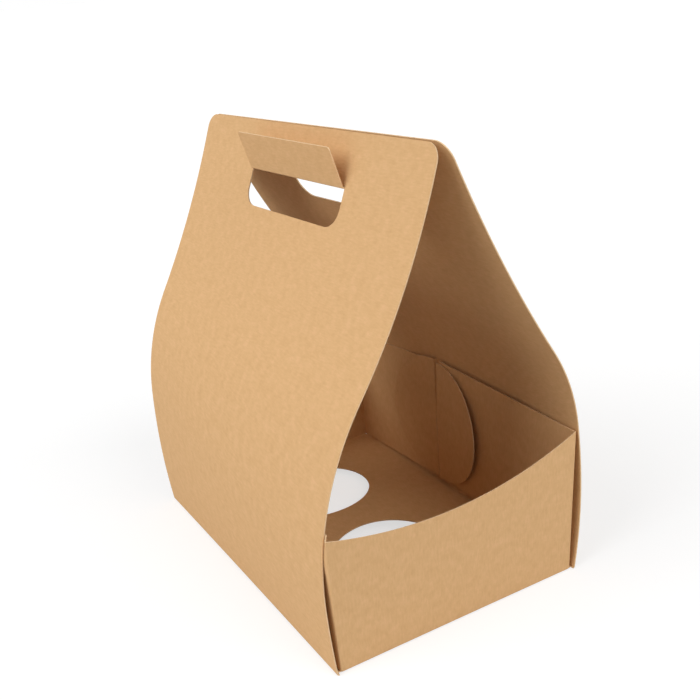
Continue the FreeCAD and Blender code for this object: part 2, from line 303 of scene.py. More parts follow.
@dataclass(frozen=True)
class TwistedHandle:
    """The two side panels under a slightly twisted handle.

    The twist pulls each panel in at one end and pushes it out at the other, and the shoulder
    starts higher where the panel is pushed out. At the front the two edges part a little.
    """

    height: float
    half_length: float
    closed_place: float = 0.85
    push: float = 8.4
    parting: float = 3.0
    right_parting: float = 1.0

    @property
    def flat(self) -> PanelSection:
        """Give the section halfway along.

        Returns:
            The section, which gives the lengths of the blank.
        """
        return PanelSection(
            self.height, self.closed_place, half_width=68.5, bow_radius=290.0, shoulder_start=64.0,
            shoulder_radius=122.0, reach_radius=515.0,
        )

    def pulled_in(self, side: Side) -> PanelSection:
        """Give the section where the twist pulls a panel in.

        Args:
            side: The side panel.

        Returns:
            The section at that end.
        """
        place = self.closed_place - self.push
        if side is Side.LEFT:
            place += self.parting
        return PanelSection(
            self.height, place, half_width=68.5, bow_radius=490.0, shoulder_start=37.0,
            shoulder_radius=148.0, reach_radius=350.0,
        )

    def pushed_out(self, side: Side) -> PanelSection:
        """Give the section where the twist pushes a panel out.

        Args:
            side: The side panel.

        Returns:
            The section at that end.
        """
        place = self.closed_place + self.push
        if side is Side.LEFT:
            return PanelSection(
                self.height, place, half_width=69.2, bow_radius=420.0, shoulder_start=72.0,
                shoulder_radius=131.0, reach_radius=560.0,
            )
        return PanelSection(
            self.height, place - self.right_parting, half_width=67.4, bow_radius=250.0,
            shoulder_start=78.5, shoulder_radius=94.0, reach_radius=650.0, bow_height=55.0,
        )

    def form(self, side: Side) -> PanelForm:
        """Give the form of one side panel.

        Args:
            side: The side panel.

        Returns:
            The panel between its sections at the front and back.
        """
        ends = [self.pulled_in(side), self.pushed_out(side)]
        if side is Side.RIGHT:
            ends.reverse()
        return PanelForm(*ends, self.flat, self.half_length)


class BlankPiece:
    """A flat piece of the blank, cut and scored, before it is folded."""

    def __init__(self) -> None:
        """Start with no board."""
        self.mesh: BMesh = bmesh.new()

    def plate(self, low: Place, high: Place) -> list[BMVert]:
        """Lay a rectangle.

        Args:
            low: Its corner with the lowest coordinates.
            high: Its corner with the highest coordinates.

        Returns:
            Its four corners.
        """
        middle = Vector(((low[0] + high[0]) / 2, (low[1] + high[1]) / 2, 0.0))
        size = Matrix.Diagonal((high[0] - low[0], high[1] - low[1], 1.0, 1.0))
        frame = Matrix.Translation(middle) @ size
        made = bmesh.ops.create_grid(self.mesh, x_segments=1, y_segments=1, size=0.5, matrix=frame)
        return made["verts"]

    def disc(self, centre: Place, radius: float, segments: int, filled: bool) -> None:
        """Lay a disc, or only its outline.

        Args:
            centre: Its centre.
            radius: Its radius.
            segments: How many straight edges its outline has.
            filled: Whether it is board, and not a hole's outline.
        """
        frame = Matrix.Translation(Vector((*centre, 0.0)))
        bmesh.ops.create_circle(
            self.mesh, cap_ends=filled, radius=radius, segments=segments, matrix=frame
        )

    def round_corners(self, corners: list[BMVert], radius: float) -> None:
        """Round corners of a plate.

        Args:
            corners: The corners.
            radius: Radius of each rounding.
        """
        bmesh.ops.bevel(
            self.mesh, geom=corners, offset=radius, segments=CORNER_SEGMENTS, profile=0.5,
            affect="VERTICES", material=-1,
        )

    def open_outlines(self) -> None:
        """Take the faces out and leave the outlines."""
        bmesh.ops.delete(self.mesh, geom=self.mesh.faces[:], context="FACES_ONLY")

    def fill_outlines(self) -> None:
        """Fill the outer outline and leave the holes inside it open."""
        bmesh.ops.triangle_fill(
            self.mesh, use_beauty=True, edges=self.mesh.edges[:], normal=(0.0, 0.0, 1.0)
        )
        self.face_up()

    def face_up(self) -> None:
        """Turn every face up."""
        for face in self.mesh.faces:
            if face.normal.z < 0:
                face.normal_flip()

    def cut(self, axis: Axis, place: float, keep: int = 0) -> None:
        """Divide the board along a straight line.

        Args:
            axis: The direction that the line crosses at right angles.
            place: Where the line is along that direction.
            keep: 1 keeps only the higher side, -1 only the lower one and 0 both.
        """
        normal = Vector(axis.value)
        bmesh.ops.bisect_plane(
            self.mesh, geom=self.geometry(), dist=CUT_GAP, plane_co=normal * place,
            plane_no=normal * (keep or 1), clear_inner=keep != 0,
        )

    def score(self, axis: Axis, places: Iterable[float]) -> None:
        """Divide the board along straight lines, so that it can bend there.

        Args:
            axis: The direction that the lines cross at right angles.
            places: Where the lines are along that direction.
        """
        for place in places:
            self.cut(axis, place)

    def drop_slants(self) -> None:
        """Dissolve the slanted edges that filling left inside the board."""
        slants = []
        for edge in self.mesh.edges:
            run = edge.verts[1].co - edge.verts[0].co
            if len(edge.link_faces) == 2 and min(abs(run.x), abs(run.y)) > SLANT_GAP:
                slants.append(edge)
        bmesh.ops.dissolve_edges(self.mesh, edges=slants, use_verts=False, use_face_split=False)
        spare = [
            vert for vert in self.mesh.verts
            if len(vert.link_edges) == 2
            and all(len(edge.link_faces) == 2 for edge in vert.link_edges)
        ]
        bmesh.ops.dissolve_verts(self.mesh, verts=spare)

    def drop_faces(self, test: Callable[[Vector], bool]) -> None:
        """Cut away the faces whose middle passes a test.

        Args:
            test: Says whether the board at a place is cut away.
        """
        gone = [face for face in self.mesh.faces if test(face.calc_center_median())]
        bmesh.ops.delete(self.mesh, geom=gone, context="FACES")

    def geometry(self) -> list[BMVert | BMEdge | BMFace]:
        """All corners, edges and faces."""
        return self.mesh.verts[:] + self.mesh.edges[:] + self.mesh.faces[:]

    def add_copy(self, other: "BlankPiece") -> None:
        """Add a copy of another piece's board.

        Args:
            other: The piece to copy.
        """
        carried = bpy.data.meshes.new("blank_piece")
        other.mesh.to_mesh(carried)
        self.mesh.from_mesh(carried)
        bpy.data.meshes.remove(carried)

    def weld(self) -> None:
        """Join the corners that lie on each other."""
        bmesh.ops.remove_doubles(self.mesh, verts=self.mesh.verts[:], dist=WELD)

    def mark(self) -> None:
        """Keep each point's place on the flat blank, in metres, as the pattern's coordinates."""
        layer = self.mesh.loops.layers.uv.new(BLANK_UV)
        for face in self.mesh.faces:
            for loop in face.loops:
                loop[layer].uv = loop.vert.co.xy * MM

    def fold(self, rule: Fold) -> None:
        """Move every point from its place on the blank to its place on the carrier.

        Args:
            rule: Gives the place on the carrier of a point of the blank.
        """
        for vert in self.mesh.verts:
            vert.co = rule(vert.co.x, vert.co.y)


@dataclass(frozen=True)
class Creases:
    """Where the strips of the blank are divided, so that neighbours meet point to point, in mm.

    Parts are how many a fold, a half disc's straight start or the step before a slit is cut
    into. Turns are the widest between two lines of a fold, in radians.
    """

    floor_step: float = 4.6
    panel_step: float = 4.0
    row_step: float = 6.0
    fold_parts: int = 4
    straight_parts: int = 3
    slit_parts: int = 5
    fold_turn: float = 0.25
    hinge_turn: float = 1 / 3

    def floor_columns(self, half: float) -> list[float]:
        """Lines across the floor and the end wall that hangs on it."""
        return spread(-half, half, self.floor_step)

    def rows(self, half: float) -> list[float]:
        """Lines along the floor and the side panels."""
        return spread(-half, half, self.row_step)


@dataclass
class FloorAndSides:
    """Floor with two cup holes, and the two tall side panels that meet at the handle edge.

    The floor is bowed upwards a little, and each side panel outwards, and the tray leans along Y
    with the twisted handle, so that its corners are not quite square.
    """

    height: float
    creases: Creases
    half_length: float = 100.0
    overhang: float = 1.0
    wall_fold: float = 0.8
    wall_half: float = 65.2
    hole_radius: float = 32.0
    hole_place: float = 42.7
    hole_across: float = -2.0
    hole_along: float = 1.2
    hole_segments: int = 96
    corner_radius: float = 8.0
    grip_half: float = 42.0
    grip_low: float = 180.0
    grip_high: float = 198.6
    grip_corner: float = 9.0
    floor_bulge: float = 6.8
    edge_rise: float = 0.5
    side_bulge: float = 2.0
    side_bulge_height: float = 60.0
    skew: float = 0.7
    skew_height: float = 60.0
    reach_height: float = 120.0

    def __post_init__(self) -> None:
        """Work out the forms of the two side panels."""
        handle = TwistedHandle(self.height, self.half_length + self.overhang)
        self.flat: PanelSection = handle.flat
        self.forms: dict[Side, PanelForm] = {side: handle.form(side) for side in Side}

    @property
    def floor_end(self) -> float:
        """Where the flat floor ends and the end wall's fold starts."""
        return self.half_length - self.wall_fold

    def grip_rows(self) -> list[float]:
        """Rows that the hand hole and the flap hinged on it share."""
        return [row for row in self.creases.rows(self.floor_end) if abs(row) < self.grip_half]

    def columns(self) -> list[float]:
        """Place the lines across the whole strip.

        Returns:
            The places, from the floor's middle out to both handle edges.
        """
        flat = self.flat
        places = list(self.creases.floor_columns(self.wall_half))
        fold_end = flat.floor_half + flat.bends[0].length
        side = spread(flat.floor_half, fold_end, flat.fold_radius * self.creases.fold_turn)
        stops = [fold_end, flat.distance_at(self.grip_low), flat.distance_at(self.grip_high)]
        for start, end in zip(stops, stops[1:] + [flat.length]):
            side += spread(start, end, self.creases.panel_step)
        return places + side + [-place for place in side]

    def build(self) -> BlankPiece:
        """Cut the strip flat and fold it up.

        Returns:
            The folded strip.
        """
        flat = self.flat
        blank = BlankPiece()
        run = flat.length
        half = self.half_length + self.overhang
        blank.round_corners(blank.plate((-run, -half), (run, half)), self.corner_radius)
        low = flat.distance_at(self.grip_low)
        high = flat.distance_at(self.grip_high)
        for side in Side:
            reach = sorted((side.value * low, side.value * high))
            corners = blank.plate((reach[0], -self.grip_half), (reach[1], self.grip_half))
            lower = [corner for corner in corners if abs(corner.co.x) < (low + high) / 2]
            blank.round_corners(lower, self.grip_corner)
        for end in End:
            centre = (self.hole_across, self.hole_along + end.value * self.hole_place)
            blank.disc(centre, self.hole_radius, self.hole_segments, filled=False)
        blank.open_outlines()
        blank.fill_outlines()
        blank.score(Axis.ACROSS, self.columns())
        rows = self.creases.rows(self.floor_end)
        blank.score(Axis.ALONG, rows + [-self.grip_half, self.grip_half])
        blank.drop_slants()
        blank.drop_faces(
            lambda place: abs(place.x) < flat.floor_half and abs(place.y) > self.floor_end
        )
        blank.mark()
        blank.fold(self.folded)
        return blank

    def folded(self, across: float, along: float) -> Vector:
        """Give the place on the carrier of a point of the strip.

        Args:
            across: Place across the blank, from the middle of the floor.
            along: Place along the blank.

        Returns:
            The place on the carrier.
        """
        side = Side.RIGHT if across >= 0 else Side.LEFT
        out, height = self.forms[side].at(abs(across), along)
        middle = bowl(along, self.half_length)
        low_share = clamped(1.0 - height / self.skew_height)
        beside = bowl(height - self.side_bulge_height, self.side_bulge_height)
        out += self.side_bulge * middle * beside
        height += self.edge_rise * middle * low_share
        height += self.floor_bulge * middle * bowl(across, self.flat.floor_half)
        slid = side.value * self.skew * out / self.flat.half_width * low_share
        return Vector((side.value * out, along - slid, height))

    def reach(self, side: Side, along: float, height: float) -> float:
        """Find how far out the outer face of a side panel is.

        Args:
            side: The side panel.
            along: Place along the carrier.
            height: Height above the table, below the reach height.

        Returns:
            The distance from the middle of the carrier.
        """
        half = self.half_length + self.overhang
        row = min(half, max(-half, along))
        low, high = self.flat.floor_half, self.flat.distance_at(self.reach_height)
        while high - low > WELD:
            middle = (low + high) / 2
            if self.folded(side.value * middle, row).z < height:
                low = middle
            else:
                high = middle
        return abs(self.folded(side.value * (low + high) / 2, row).x)


@dataclass(frozen=True)
class EndWarp:
    """How one end wall and its lock flaps stand off from square and straight, in mm.

    Attributes:
        flare: How much wider each half of the wall is at its corners than at the floor.
        slide: How far the wall's corners are moved sideways.
        tip_lift: How far the half disc's free edge stands off the flap behind it.
        rise: How much higher a lock flap is at the crossing than at its fold.
    """

    flare: float
    slide: float
    tip_lift: float
    rise: float


END_WARPS = {
    End.FRONT: EndWarp(flare=4.5, slide=1.5, tip_lift=2.6, rise=4.4),
    End.BACK: EndWarp(flare=3.6, slide=0.3, tip_lift=3.0, rise=3.2),
}


@dataclass
class EndWall:
    """One end wall with a sunk top edge, and its two lock flaps folded back along the sides.

    Each flap is slit at the crossing and ends in a half disc. The front flap is slit below and
    the back flap above, so the two hook together and their half discs look like one disc. The
    wall widens upwards until its corners touch the side panels, and the twisted handle makes it
    lean out more at one side.

    Attributes:
        lean_change: How much more the wall leans out at one corner, and less at the other.
        easing: How fast a flap's room opens beyond the side panel's end.
        crossing_low: How far out a flap's bottom is at the crossing; the high one is its top.
        slit_opening: How much further the slit stands open at the flap's upper edge.
        slit_ease: How far past the slit that opening and the curl reach.
        step_in: How far a half disc steps inwards past the slit.
        curl: How far the back half disc curls inwards beside the slit.
        sag: How far the front flap stands outwards at the open slit.
    """

    end: End
    base: FloorAndSides
    height: float = 74.0
    dip: float = 12.1
    corner_drop: float = 2.3
    lean: float = math.radians(3.0)
    lean_change: float = math.radians(2.6)
    board: float = BOARD
    clearance: float = 0.3
    easing: float = 0.7
    corner_fold: float = 0.8
    flap_bottom: float = 0.9
    crossing: float = 13.0
    crossing_low: float = 66.8
    crossing_high: float = 68.6
    slit: float = 0.7
    slit_opening: float = 2.4
    slit_ease: float = 12.0
    step_in: float = 0.65
    curl: float = 0.3
    sag: float = 1.7
    tip_straight: float = 3.0
    tip_segments: int = 96

    @property
    def fold_length(self) -> float:
        """Length of board in the fold between floor and wall."""
        return self.base.wall_fold * (math.pi / 2 - self.lean)

    @property
    def slant(self) -> float:
        """Where the wall's corners are, measured up the board from the floor's end."""
        gained = self.base.wall_fold * (1 - math.sin(self.lean))
        return self.fold_length + (self.height - gained) / math.cos(self.lean)

    @property
    def flap_low(self) -> float:
        """Where a lock flap's lower edge is, measured as the corners are."""
        return self.slant - (self.height - self.flap_bottom) / math.cos(self.lean)

    @property
    def warp(self) -> EndWarp:
        """How this end stands off from square and straight."""
        return END_WARPS[self.end]

    @property
    def corner_length(self) -> float:
        """Length of board in the fold between wall and flap."""
        return self.corner_fold * math.pi / 2

    @property
    def root_length(self) -> float:
        """Flat length of a lock flap, from its fold to its slit."""
        to_slit = self.base.half_length - self.end.value * self.crossing - self.slit / 2
        return to_slit - self.corner_fold

    @property
    def slit_above(self) -> bool:
        """Whether the slit opens at the flap's upper edge."""
        return self.end is End.BACK

    def build(self) -> BlankPiece:
        """Cut the wall and its flaps flat and fold them up.

        Returns:
            The folded wall and flaps.
        """
        blank = BlankPiece()
        creases = self.base.creases
        half = self.base.wall_half
        middle = (self.flap_low + self.slant) / 2
        radius = (self.slant - self.flap_low) / 2
        near = half + self.corner_length + self.root_length
        far = near + self.slit
        step = creases.panel_step
        side = spread(half, half + self.corner_length, self.corner_length / creases.fold_parts)
        side += spread(half + self.corner_length, near - step, step)
        side += spread(near - step, near, step / creases.slit_parts)
        side += spread(near, far, self.slit / creases.fold_parts)
        round_start = far + self.tip_straight
        side += spread(far, round_start, self.tip_straight / creases.straight_parts)
        side += spread(round_start, round_start + radius, step)
        rows = spread(0.0, self.fold_length, self.fold_length / creases.fold_parts)
        rows += spread(self.flap_low, middle, step) + spread(middle, self.slant, step)
        blank.disc((round_start, middle), radius, self.tip_segments, filled=True)
        blank.cut(Axis.ACROSS, round_start, keep=1)
        blank.plate((far, self.flap_low), (round_start, self.slant))
        whole = (self.flap_low, middle) if self.slit_above else (middle, self.slant)
        blank.plate((near, whole[0]), (far, whole[1]))
        blank.plate((half, self.flap_low), (near, self.slant))
        bmesh.ops.mirror(blank.mesh, geom=blank.geometry(), axis="X", merge_dist=0.0)
        blank.plate((-half, 0.0), (half, self.slant))
        blank.face_up()
        columns = creases.floor_columns(half)
        blank.score(Axis.ACROSS, columns + side + [-place for place in side])
        blank.score(Axis.ALONG, rows)
        blank.weld()
        for vert in blank.mesh.verts:
            vert.co.y -= self.sunk(vert.co.x) * vert.co.y / self.slant
            vert.co.y = self.end.value * (self.base.floor_end + vert.co.y)
        if self.end is End.FRONT:
            bmesh.ops.reverse_faces(blank.mesh, faces=blank.mesh.faces[:])
        blank.mark()
        blank.fold(self.folded)
        return blank

    def sunk(self, across: float) -> float:
        """Give how far the top edge sinks at a place across the wall.

        Args:
            across: Place across the wall, from its middle.

        Returns:
            The depth below the corners.
        """
        half = self.base.wall_half
        pushed = clamped((1 + self.end.value * across / half) / 2)
        beyond = max(0.0, abs(across) - half)
        drop = self.corner_drop * pushed * clamped(1 - beyond / self.root_length)
        if beyond > 0:
            return drop
        radius = (half ** 2 + self.dip ** 2) / (2 * self.dip)
        return drop + math.sqrt(radius ** 2 - across ** 2) - (radius - self.dip)

    def wall_point(self, across: float, up: float) -> Vector:
        """Give the place on the carrier of a point of the wall.

        Args:
            across: Place across the wall, from its middle.
            up: Place up the board, from the floor's end.

        Returns:
            The place on the carrier.
        """
        end = self.end.value
        base = self.base
        foot = base.folded(across, end * base.floor_end)
        lean = self.lean + end * self.lean_change * across / base.wall_half
        fold = base.wall_fold
        angle = min(up / fold, math.pi / 2 - lean)
        rest = up - angle * fold
        out = fold * math.sin(angle) + rest * math.sin(lean)
        height = fold * (1 - math.cos(angle)) + rest * math.cos(lean)
        share = height / self.height
        warp = self.warp
        side = foot.x * (1 + share * warp.flare / base.wall_half) - end * warp.slide * share
        return Vector((side, foot.y + end * out, foot.z + height))

    def folded(self, across: float, along: float) -> Vector:
        """Give the place on the carrier of a point of the wall or its flaps.

        Args:
            across: Place across the blank, from the middle of the wall.
            along: Place along the blank, from the middle of the floor.

        Returns:
            The place on the carrier.
        """
        half = self.base.wall_half
        up = abs(along) - self.base.floor_end
        if abs(across) <= half:
            return self.wall_point(across, up)
        side = math.copysign(1.0, across)
        end = self.end.value
        corner = self.wall_point(side * half, up)
        beyond = abs(across) - half
        angle = min(beyond / self.corner_fold, math.pi / 2)
        corner.x += side * self.corner_fold * math.sin(angle)
        corner.y -= end * self.corner_fold * (1 - math.cos(angle))
        run = beyond - self.corner_length
        if run <= 0:
            return corner
        share = min(1.0, run / self.root_length)
        past = run - self.root_length
        high = (up - self.flap_low) / (self.slant - self.flap_low)
        slit_y = self.crossing + end * self.slit / 2
        crossing_x = side * blend(self.crossing_low, self.crossing_high, high)
        place = Vector((
            blend(corner.x, crossing_x, share),
            blend(corner.y, slit_y, share) - end * max(0.0, past),
            corner.z + self.warp.rise * share,
        ))
        limit = self.room(Side.RIGHT if side > 0 else Side.LEFT, place)
        place.x = side * min(abs(place.x), limit)
        inwards, backwards = self.hooked(past, clamped(2 * high - 1))
        return place - Vector((side * inwards, end * backwards, 0.0))

    def room(self, side: Side, place: Vector) -> float:
        """Give how far out a lock flap may be and still lie inside the side panel.

        Args:
            side: The side panel.
            place: A place on the flap.

        Returns:
            The distance from the middle of the carrier, which opens up beyond the panel's end.
        """
        inner = self.base.reach(side, place.y, place.z) - self.board - self.clearance
        beyond = abs(place.y) - self.base.half_length - self.base.overhang
        return inner + self.easing * max(0.0, beyond)

    def hooked(self, past: float, upper: float) -> Place:
        """Give how the flap bends where it hooks into the other one.

        Args:
            past: Distance past the slit's near side, less than 0 before it.
            upper: 0 at the slit's inner end and below it, 1 at the flap's upper edge.

        Returns:
            How far inwards the flap stands, and how much further it has moved past the slit.
        """
        opening = self.slit_opening * upper
        if not self.slit_above:
            stepped = eased(past / self.slit)
            nearing = eased(1.0 + (past + opening) / self.slit_opening)
            inwards = self.step_in * stepped - self.sag * upper * nearing * (1.0 - stepped)
            backwards = 0.0
        else:
            beyond = past - self.slit
            beside = clamped(1.0 - beyond / self.slit_ease) if beyond >= 0.0 else 0.0
            inwards = self.step_in * eased(past / self.slit) + self.curl * upper * beside ** 2
            backwards = opening * beside
        tip = max(0.0, past - self.slit) / (self.height / 2)
        return inwards + self.warp.tip_lift * tip ** 2, backwards


@dataclass
class GripFlap:
    """The flap cut from a hand hole, folded up outside its panel."""

    side: Side
    base: FloorAndSides
    length: float = 20.3
    corner: float = 1.5
    fold_radius: float = 0.4
    lean: float = math.radians(15.0)

    @property
    def hinge(self) -> float:
        """Where the flap's hinge is, across the blank."""
        return self.base.flat.distance_at(self.base.grip_high)

    def build(self) -> BlankPiece:
        """Cut the flap flat and fold it up.

        Returns:
            The folded flap.
        """
        hinge = self.hinge
        half = self.base.grip_half
        creases = self.base.creases
        blank = BlankPiece()
        reach = sorted((self.side.value * hinge, self.side.value * (hinge - self.length)))
        corners = blank.plate((reach[0], -half), (reach[1], half))
        free = [corner for corner in corners if abs(corner.co.x) < hinge - self.length / 2]
        blank.round_corners(free, self.corner)
        bent = self.fold_radius * math.pi
        places = spread(0.0, bent, self.fold_radius * creases.hinge_turn)
        places += spread(bent, self.length, creases.panel_step)
        blank.score(Axis.ACROSS, [self.side.value * (hinge - place) for place in places])
        blank.score(Axis.ALONG, self.base.grip_rows())
        blank.mark()
        blank.fold(self.folded)
        return blank

    def folded(self, across: float, along: float) -> Vector:
        """Give the place on the carrier of a point of the flap.

        Args:
            across: Place across the blank, from the middle of the floor.
            along: Place along the blank.

        Returns:
            The place on the carrier.
        """
        form = self.base.forms[self.side]
        hinge = form.at(self.hinge, along)
        down = (form.at(self.hinge - 1.0, along) - hinge).normalized()
        run = self.hinge - abs(across)
        turn = math.pi / 2 - self.lean - math.atan2(down.y, down.x)
        angle = min(turn, run / self.fold_radius)
        start = math.atan2(-down.x, down.y)
        centre = hinge + self.fold_radius * Vector((-down.y, down.x))
        turned = start + angle
        place = centre + self.fold_radius * Vector((math.cos(turned), math.sin(turned)))
        rest = run - angle * self.fold_radius
        if rest > 0:
            place += rest * Vector((math.sin(self.lean), math.cos(self.lean)))
        return Vector((self.side.value * place.x, along, place.y))


@dataclass
class CarrierSheet:
    """The whole folded sheet, from one blank."""

    height: float
    board: float = BOARD
    sharp: float = math.radians(35.0)

    def build(self) -> bpy.types.Object:
        """Cut, fold and join every panel of the sheet and give it its thickness.

        Returns:
            The sheet as one object at the origin, in metres.
        """
        base = FloorAndSides(self.height, Creases())
        pieces = [base.build()]
        pieces += [EndWall(end, base).build() for end in End]
        pieces += [GripFlap(side, base).build() for side in Side]
        sheet = BlankPiece()
        for piece in pieces:
            sheet.add_copy(piece)
            piece.mesh.free()
        sheet.weld()
        bmesh.ops.reverse_faces(sheet.mesh, faces=sheet.mesh.faces[:])
        bmesh.ops.scale(sheet.mesh, verts=sheet.mesh.verts[:], vec=(MM, MM, MM))
        mesh = bpy.data.meshes.new("kraft_sheet")
        sheet.mesh.to_mesh(mesh)
        sheet.mesh.free()
        return self.thickened(mesh)

    def thickened(self, mesh: bpy.types.Mesh) -> bpy.types.Object:
        """Give the sheet its thickness, inwards from its outer face.

        Args:
            mesh: The outer face of the folded sheet.

        Returns:
            The object that holds the finished board.
        """
        mesh.materials.append(KraftFace().material())
        # The cut edges' material carries a painted highlight in its pale colour.
        mesh.materials.append(CutEdge().material())
        sheet = bpy.data.objects.new("kraft_sheet", mesh)
        bpy.context.scene.collection.objects.link(sheet)
        wall = sheet.modifiers.new("board", "SOLIDIFY")
        wall.thickness = self.board * MM
        wall.offset = -1.0
        wall.use_even_offset = True
        wall.material_offset_rim = 1
        graph = bpy.context.evaluated_depsgraph_get()
        solid = bpy.data.meshes.new_from_object(sheet.evaluated_get(graph))
        sheet.modifiers.clear()
        sheet.data = solid
        solid.name = "kraft_sheet_board"
        solid.shade_smooth()
        solid.set_sharp_from_angle(angle=self.sharp)
        bpy.data.meshes.remove(mesh)
        return sheet


def linear(colour: str) -> tuple[float, float, float, float]:
    """Turn an sRGB hex colour to linear.

    Args:
        colour: Six hex digits after a number sign.

    Returns:
        Red, green, blue and an alpha of 1.
    """
    parts = [int(colour[index:index + 2], 16) / 255 for index in (1, 3, 5)]
    lit = [part / 12.92 if part <= 0.04045 else ((part + 0.055) / 1.055) ** 2.4 for part in parts]
    return lit[0], lit[1], lit[2], 1.0


def add_node(
    tree: bpy.types.NodeTree,
    kind: str,
    settings: dict[str, object] | None = None,
    inputs: dict[str | int, object] | None = None,
) -> bpy.types.Node:
    """Add a node with its settings and links.

    Args:
        tree: Node tree to add to.
        kind: Type name of the node.
        settings: Properties of the node by name.
        inputs: Sockets by name or place, each with a value or another node's output socket.

    Returns:
        The node.
    """
    node = tree.nodes.new(kind)
    for name, value in (settings or {}).items():
        setattr(node, name, value)
    for name, value in (inputs or {}).items():
        if isinstance(value, bpy.types.NodeSocket):
            tree.links.new(value, node.inputs[name])
        else:
            node.inputs[name].default_value = value
    return node


def new_material(name: str) -> tuple[bpy.types.Material, bpy.types.NodeTree]:
    """Start a material with an empty node tree.

    Args:
        name: Name of the material.

    Returns:
        The material and its tree.
    """
    material = bpy.data.materials.new(name)
    material.use_nodes = True
    material.node_tree.nodes.clear()
    return material, material.node_tree


def per_metre(size: float) -> float:
    """Turn the size of a pattern's detail in mm to a texture scale on metres."""
    return 1.0 / (size * MM)


def seen_rays(tree: bpy.types.NodeTree) -> bpy.types.NodeSocket:
    """Add the nodes that tell rays that show a background from rays that light the board.

    Args:
        tree: Node tree to add to.

    Returns:
        Socket that gives 1 for a camera, glossy or transmission ray and 0 for any other.
    """
    path = add_node(tree, "ShaderNodeLightPath")
    seen = add_node(
        tree, "ShaderNodeMath", {"operation": "MAXIMUM"},
        {0: path.outputs["Is Camera Ray"], 1: path.outputs["Is Glossy Ray"]},
    )
    shown = add_node(
        tree, "ShaderNodeMath", {"operation": "MAXIMUM"},
        {0: seen.outputs["Value"], 1: path.outputs["Is Transmission Ray"]},
    )
    return shown.outputs["Value"]


@dataclass(frozen=True)
class KraftFace:
    """Unbleached kraft board, machine-made and uncoated: matte brown with a faint fibre cloud.

    The clouds are where the fibres lie thicker or thinner. Real fibres are about 0.03 mm wide,
    too fine to show, so the streaks along the blank are drawn as coarse as the render shows.
    """

    base: str = "#DBB07D"
    cloud_dark: str = "#D4A775"
    cloud_light: str = "#E3B787"
    dark_place: float = 0.32
    base_place: float = 0.5
    light_place: float = 0.68
    cloud_size: float = 5.0
    cloud_detail: float = 4.0
    cloud_roughness: float = 0.65
    fibre_width: float = 0.9
    fibre_stretch: float = 5.0
    fibre_detail: float = 3.0
    fibre_roughness: float = 0.6
    fibre_share: float = 0.5
    roughness: float = 0.88
    specular: float = 0.3
    bump_strength: float = 0.25
    bump_height: float = 0.02

    def material(self) -> bpy.types.Material:
        """Make the material of the board's two faces.

        Returns:
            The material.
        """
        material, tree = new_material("kraft_board_uncoated")
        place = add_node(tree, "ShaderNodeUVMap", {"uv_map": BLANK_UV})
        cloud = add_node(
            tree, "ShaderNodeTexNoise", {},
            {"Vector": place.outputs["UV"], "Scale": per_metre(self.cloud_size),
             "Detail": self.cloud_detail, "Roughness": self.cloud_roughness},
        )
        grain = add_node(
            tree, "ShaderNodeMapping", {},
            {"Vector": place.outputs["UV"], "Scale": (1.0, 1.0 / self.fibre_stretch, 1.0)},
        )
        fibre = add_node(
            tree, "ShaderNodeTexNoise", {},
            {"Vector": grain.outputs["Vector"], "Scale": per_metre(self.fibre_width),
             "Detail": self.fibre_detail, "Roughness": self.fibre_roughness},
        )
        both = add_node(
            tree, "ShaderNodeMix", {"data_type": "FLOAT"},
            {"Factor": self.fibre_share, "A": cloud.outputs["Fac"], "B": fibre.outputs["Fac"]},
        )
        ramp = add_node(tree, "ShaderNodeValToRGB", {}, {"Fac": both.outputs["Result"]})
        ramp.color_ramp.elements[0].position = self.dark_place
        ramp.color_ramp.elements[0].color = linear(self.cloud_dark)
        ramp.color_ramp.elements[1].position = self.light_place
        ramp.color_ramp.elements[1].color = linear(self.cloud_light)
        middle = ramp.color_ramp.elements.new(self.base_place)
        middle.color = linear(self.base)
        bump = add_node(
            tree, "ShaderNodeBump", {},
            {"Strength": self.bump_strength, "Distance": self.bump_height * MM,
             "Height": both.outputs["Result"]},
        )
        shader = add_node(
            tree, "ShaderNodeBsdfPrincipled", {},
            {"Base Color": ramp.outputs["Color"], "Roughness": self.roughness,
             "Specular IOR Level": self.specular, "Normal": bump.outputs["Normal"]},
        )
        add_node(tree, "ShaderNodeOutputMaterial", {}, {"Surface": shader.outputs["BSDF"]})
        return material


@dataclass(frozen=True)
class CutEdge:
    """Die-cut edge of kraft board: torn fibres, rougher than the faces, and paler, partly from the
    board's paler core and partly as a painted highlight.

    The tufts of fibre are drawn coarser than they are, so that the render shows them.
    """

    # Edge colours are pale partly from the board's paler core and partly as a painted highlight
    # along every cut edge.
    base: str = "#EBCBA2"
    torn: str = "#E0BD92"
    torn_place: float = 0.3
    base_place: float = 0.7
    tuft_size: float = 1.2
    tuft_detail: float = 2.0
    roughness: float = 0.95
    specular: float = 0.2

    def material(self) -> bpy.types.Material:
        """Make the material of the board's cut edges.

        Returns:
            The material.
        """
        material, tree = new_material("kraft_cut_edge_core_and_highlight")
        place = add_node(tree, "ShaderNodeTexCoord")
        fibre = add_node(
            tree, "ShaderNodeTexNoise", {},
            {"Vector": place.outputs["Object"], "Scale": per_metre(self.tuft_size),
             "Detail": self.tuft_detail},
        )
        ramp = add_node(tree, "ShaderNodeValToRGB", {}, {"Fac": fibre.outputs["Fac"]})
        ramp.color_ramp.elements[0].position = self.torn_place
        ramp.color_ramp.elements[0].color = linear(self.torn)
        ramp.color_ramp.elements[1].position = self.base_place
        ramp.color_ramp.elements[1].color = linear(self.base)
        shader = add_node(
            tree, "ShaderNodeBsdfPrincipled", {},
            {"Base Color": ramp.outputs["Color"], "Roughness": self.roughness,
             "Specular IOR Level": self.specular},
        )
        add_node(tree, "ShaderNodeOutputMaterial", {}, {"Surface": shader.outputs["BSDF"]})
        return material


